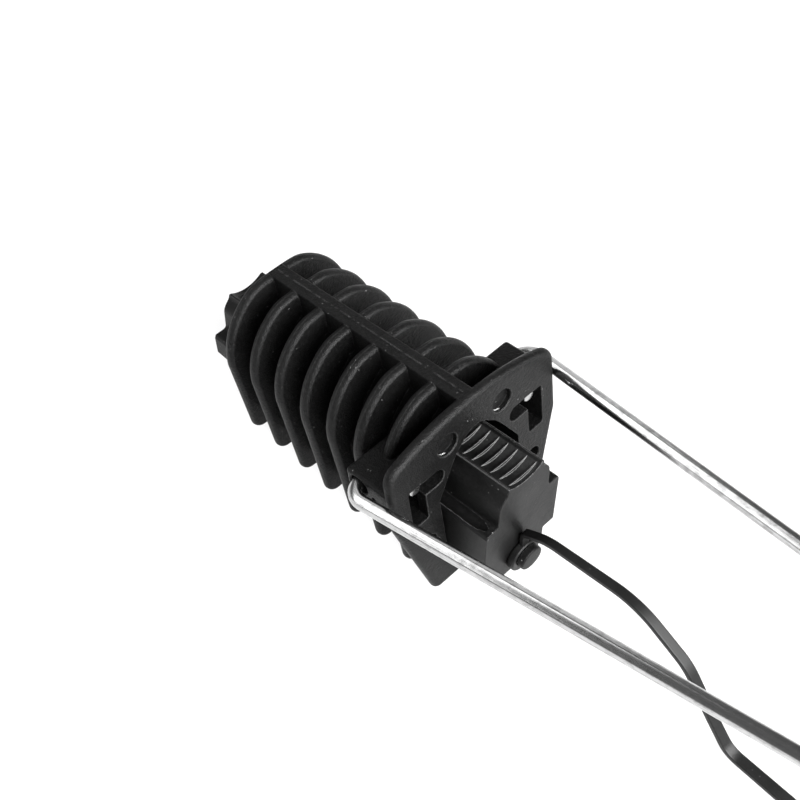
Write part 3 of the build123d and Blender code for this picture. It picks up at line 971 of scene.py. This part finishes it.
def makeTroughs():
    # a scooped hollow along the top of each shoulder, closed like a boat's bow
    shape = troughShape
    shoulder = noseTop - noseSteps["shoulder"]
    slope = (shoulder - (tailTop - tailSteps["shoulder"])) / (noseX - tailX)
    steps, bowSteps, bow = shape["steps"], shape["bowSteps"], shape["bow"]
    rings = []
    for step in range(steps + 1):
        along = shape["length"] * step / steps if step > bowSteps else bow * (step / bowSteps) ** 2
        share = min(1.0, along / bow)
        radius = shape["radius"] * math.sqrt(max(shape["tip"], share * (2 - share)))
        x = noseX - shape["frontGap"] - along
        z = shoulder + slope * (x - noseX) + shape["lift"]
        rings.append(ringAt(x, circle((shape["across"], z), radius, 32)))
    item = mirrorPair("troughs", loft("trough", rings))
    item.data.transform(wedgeToGrip)
    return item


def makeWedge():
    block = combine(makeWedgeBlock(), [makePeg()], "UNION")
    combine(block, [makeGroove(), makeTroughs()], "DIFFERENCE")
    combine(block, [makeTeeth()], "UNION")
    finished(block, "wedge_block", "wedge", "wedge", wedgeNylon)


makeWedge()


# Bail: round wire swept along its bends

def turnedAboutHinge(points, degrees):
    # points drawn flat as (x, y), dipped about the hinge axis towards +X
    cosine, sine = math.cos(math.radians(degrees)), math.sin(math.radians(degrees))
    reached = [(x - hinge["x"], y) for x, y in points]
    return [Vector((hinge["x"] + reach * cosine, y, hinge["z"] - reach * sine)) for reach, y in reached]


def bailPath():
    # half the wire, drawn flat from the hook's tip to the loop's middle, then its mirror image
    shape = bailShape
    bend, loop, legAngle = shape["bend"], shape["loopRadius"], 90 - shape["toe"]
    inner = [(x, shape["hookInner"]) for x in (shape["hookTip"], *shape["hookStations"])]
    inner += arcPoints((hookX, innerBendY), bend, 270, 180, 14)
    outer = arcPoints((hookX, outerBendY), bend, 180, legAngle, 14)
    start = Vector(outer[-1])
    end = Vector((shape["loopCentre"] + loop * math.sin(toe), loop * math.cos(toe)))
    outer += [tuple(start.lerp(end, step / shape["legSteps"])) for step in range(1, shape["legSteps"])]
    outer += arcPoints((shape["loopCentre"], 0), loop, legAngle, 0, 18)
    half = turnedAboutHinge(inner, shape["drop"]) + turnedAboutHinge(outer, -shape["rise"])
    other = [Vector((point.x, -point.y, point.z)) for point in reversed(half[:-1])]
    return half + other


def sweepTube(name, path, radius, endRound, around=32):
    # a tube on a path with rounded ends, and a UV map of its length and the way round
    distances, tangents = [0.0], directions(path)
    for before, after in zip(path, path[1:]):
        distances.append(distances[-1] + (after - before).length)
    first, last, total = tangents[0], tangents[-1], distances[-1]
    cap = quarterRound(endRound, 3)[:-1]
    stations = [(path[0] + first * back, first, radius - shrink, 0.0) for shrink, back in cap]
    stations.append((path[0] + first * endRound, first, radius, endRound))
    for centre, tangent, length in list(zip(path, tangents, distances))[1:-1]:
        stations.append((centre, tangent, radius, length))
    stations.append((path[-1] - last * endRound, last, radius, total - endRound))
    stations += [(path[-1] - last * back, last, radius - shrink, total) for shrink, back in reversed(cap)]
    side = Vector((0, 0, 1)).cross(first).normalized()
    turns = [2 * math.pi * step / around for step in range(around)]
    rings = []
    for centre, tangent, size, length in stations:
        side = (side - tangent * side.dot(tangent)).normalized()
        lift = tangent.cross(side)
        spokes = [side * math.cos(turn) + lift * math.sin(turn) for turn in turns]
        rings.append([tuple(centre + spoke * size) for spoke in spokes])
    item = loft(name, rings)
    mesh = item.data
    layer = mesh.uv_layers.new(name="wire")
    for polygon in mesh.polygons:
        columns = [mesh.loops[loop].vertex_index % around for loop in polygon.loop_indices]
        wraps = max(columns) - min(columns) > around / 2
        for loop, column in zip(polygon.loop_indices, columns):
            length = stations[mesh.loops[loop].vertex_index // around][3]
            turnShare = (column + around if wraps and column < around / 2 else column) / around
            layer.data[loop].uv = (length * 0.001, turnShare)
    return item


def makeBail():
    item = sweepTube("bail", bailPath(), bailShape["wireRadius"], bailShape["tipRound"])
    finished(item, "bail_wire", "bail", "bail", bailSteel, 50, False)


makeBail()


# Tether: a moulded strap from its eyelet on the peg to a free eyelet

strapShape = {
    "thickness": 2.1, "startWidth": 2.8, "endWidth": 4.3, "lift": 0.6, "landing": 104.0, "end": 134.0,
    "startBend": (0.9, 7.4), "arch": [(29.0, 27.0), (66.0, 28.0), (86.0, 13.6), (96.0, -4.5)],
    "bends": [3.0, 20.0, 27.0, 20.0, 60.0, 9.0], "spacing": 3, "eyeletRadius": 6.5, "eyeletHole": 3.2,
    "edge": 0.45,
}
ringHeight = pegHeight - (eyeletShape["hole"] - pegShape["radius"] - eyeletShape["slack"])
ringX = noseX + pegShape["eyeletGap"] + eyeletShape["thickness"] / 2


def groundHeight(x):
    return flangeShape["bottom"] - (x + flangeShape["thickness"]) * math.tan(restAngle)


def strapPath():
    shape = strapShape
    middle = (eyeletShape["radius"] + eyeletShape["hole"]) / 2
    seat = wedgeToGrip @ Vector((ringX, 0, ringHeight + middle))
    lie = shape["lift"] + shape["thickness"] / 2
    corners = [(seat.x, seat.z), (seat.x + shape["startBend"][0], seat.z + shape["startBend"][1])]
    corners += shape["arch"]  # the photographed bow, then down to the ground
    corners += [(x, groundHeight(x) + lie) for x in (shape["landing"], shape["end"])]
    rounded = roundCorners(corners, [0] + shape["bends"] + [0], 12)
    points = [rounded[0]]
    for point in rounded[1:]:
        last = Vector(points[-1])
        run = Vector(point) - last
        pieces = max(1, int(run.length / shape["spacing"]))
        points += [tuple(last + run * step / pieces) for step in range(1, pieces + 1)]
    return points


def makeStrap():
    shape = strapShape
    points = strapPath()
    thick, narrow = shape["thickness"] / 2, shape["startWidth"]
    spread = shape["endWidth"] - narrow
    rings = []
    for (x, z), along in zip(points, directions(points)):
        half = (narrow + spread * max(0, x) / shape["end"]) / 2
        corners = [(half, thick), (-half, thick), (-half, -thick), (half, -thick)]
        section = roundCorners(corners, [shape["edge"]] * 4, 4)
        rings.append([(x - along.y * up, across, z + along.x * up) for across, up in section])
    return loft("strap", rings)


def makeEyelet(name, radius, hole):
    # its axis is X; the section is a rounded rectangle carried round
    half = eyeletShape["thickness"] / 2
    corners = [(-half, hole), (half, hole), (half, radius), (-half, radius)]
    section = roundCorners(corners, [eyeletShape["round"]] * 4, 5)
    rings = []
    for step in range(64):
        turn = 2 * math.pi * step / 64
        rings.append([(x, far * math.cos(turn), far * math.sin(turn)) for x, far in section])
    return loft(name, rings, True)


def makeTether():
    radius, hole = strapShape["eyeletRadius"], strapShape["eyeletHole"]
    first = makeEyelet("firstEyelet", eyeletShape["radius"], eyeletShape["hole"])
    first.data.transform(wedgeToGrip @ Matrix.Translation((ringX, 0, ringHeight)))
    second = makeEyelet("secondEyelet", radius, hole)
    endX = strapShape["end"] + (radius + hole) / 2
    endZ = groundHeight(endX) + strapShape["lift"] + eyeletShape["thickness"] / 2
    lying = Matrix.Rotation(restAngle + math.pi / 2, 4, "Y")
    second.data.transform(Matrix.Translation((endX, 0, endZ)) @ lying)
    strap = combine(makeStrap(), [first, second], "UNION")
    finished(strap, "tether_strap", "wedge", "tether", tetherNylon)


makeTether()


# Studio: white floor and background, soft light from above

studio = {
    "floorSize": 8.0, "floorColour": 0.15, "floorGlow": 0.86,
    "dome": [(0.0, 0.35), (0.06, 0.22), (0.3, 0.14), (1.0, 0.08)],
    # softboxes: place from the aim in metres, the way the second side runs, size in metres, brightness
    "aim": (0.02, 0, 0.04),
    "softboxes": {
        "strip": ((-0.69, -0.40, 0.58), (-0.1, 0.89, 0.49), (0.45, 1.6), 2.6),
        "farSide": ((-0.66, 0.66, 0.34), (0.08, 0.42, -0.59), (0.5, 0.9), 0.8),
        "front": ((0.68, -0.05, 0.58), (0, 1, 0), (0.7, 1.2), 24.0),
        "overhead": ((0.33, -0.1, 0.92), (0, 1, 0), (0.35, 0.6), 5.0),
    },
}


def whiteRays(tree):
    # 1 for rays that see the backdrop itself: from the camera, from gloss and through clear things
    rays = addNode(tree, "LightPath", {})
    seen = mathNode(tree, "MAXIMUM", rays["Is Camera Ray"], rays["Is Glossy Ray"])
    return mathNode(tree, "MAXIMUM", seen, rays["Is Transmission Ray"])


def makeWorld():
    # a dome that is white at the horizon and dark overhead, as over a photographer's table
    world = bpy.data.worlds.new("studio")
    bpy.context.scene.world = world
    world.use_nodes = True
    tree = world.node_tree
    tree.nodes.clear()
    place = addNode(tree, "TexCoord", {})["Generated"]
    height = addNode(tree, "SeparateXYZ", {0: place})["Z"]
    shade = ramp(tree, height, studio["dome"])
    sky = addNode(tree, "Background", {"Color": shade, "Strength": 1.0})[0]
    addNode(tree, "OutputWorld", {"Surface": sky})


def makeFloor():
    mesh = bpy.data.meshes.new("floor")
    half = studio["floorSize"] / 2
    corners = [(-half, -half, 0), (half, -half, 0), (half, half, 0), (-half, half, 0)]
    mesh.from_pydata(corners, [], [(0, 1, 2, 3)])
    floor = newObject("floor", mesh)
    material, tree = nodeTree("paleFloor")
    diffuse = addNode(tree, "BsdfDiffuse", {"Color": grey(studio["floorColour"])})[0]
    glow = addNode(tree, "Emission", {"Strength": studio["floorGlow"]})[0]
    bright = addNode(tree, "AddShader", {0: diffuse, 1: glow})[0]
    mixed = addNode(tree, "MixShader", {0: whiteRays(tree), 1: diffuse, 2: bright})[0]
    addNode(tree, "OutputMaterial", {"Surface": mixed})
    mesh.materials.append(material)


def placed(item, spot, right, up, back):
    item.matrix_world = Matrix.Translation(spot) @ Matrix((right, up, back)).transposed().to_4x4()


def makeLamps():
    aim = Vector(studio["aim"])
    for name, (place, along, size, glow) in studio["softboxes"].items():
        lamp = bpy.data.lights.new(name, "AREA")
        lamp.shape = "RECTANGLE"
        lamp.size, lamp.size_y = size
        lamp.energy = glow * math.pi * lamp.size * lamp.size_y
        place, along = Vector(place), Vector(along)
        back = place.normalized()
        along = (along - back * along.dot(back)).normalized()
        placed(newObject(name, lamp), aim + place, along.cross(back), along, back)


# In the grip frame, with the ways that its right, its top and its back point
cameraSetting = {
    "spot": (199.732, -178.675, 362.684), "right": (0.688666, 0.71648, -0.111335),
    "up": (-0.475323, 0.562052, 0.676879), "back": (0.547546, -0.413224, 0.727626), "lens": 57.126,
}


def makeCamera():
    camera = bpy.data.cameras.new("camera")
    camera.lens = cameraSetting["lens"]
    camera.sensor_width = 36.0
    camera.clip_start = 0.01
    item = newObject("camera", camera)
    turn = gripToFrame.to_3x3()
    axes = [(turn @ Vector(cameraSetting[axis])).normalized() for axis in ("right", "up", "back")]
    placed(item, gripToFrame @ Vector(cameraSetting["spot"]), *axes)
    bpy.context.scene.camera = item


makeWorld()
makeFloor()
makeLamps()
makeCamera()
bpy.context.scene.view_settings.view_transform = "Standard"
print("studio made")
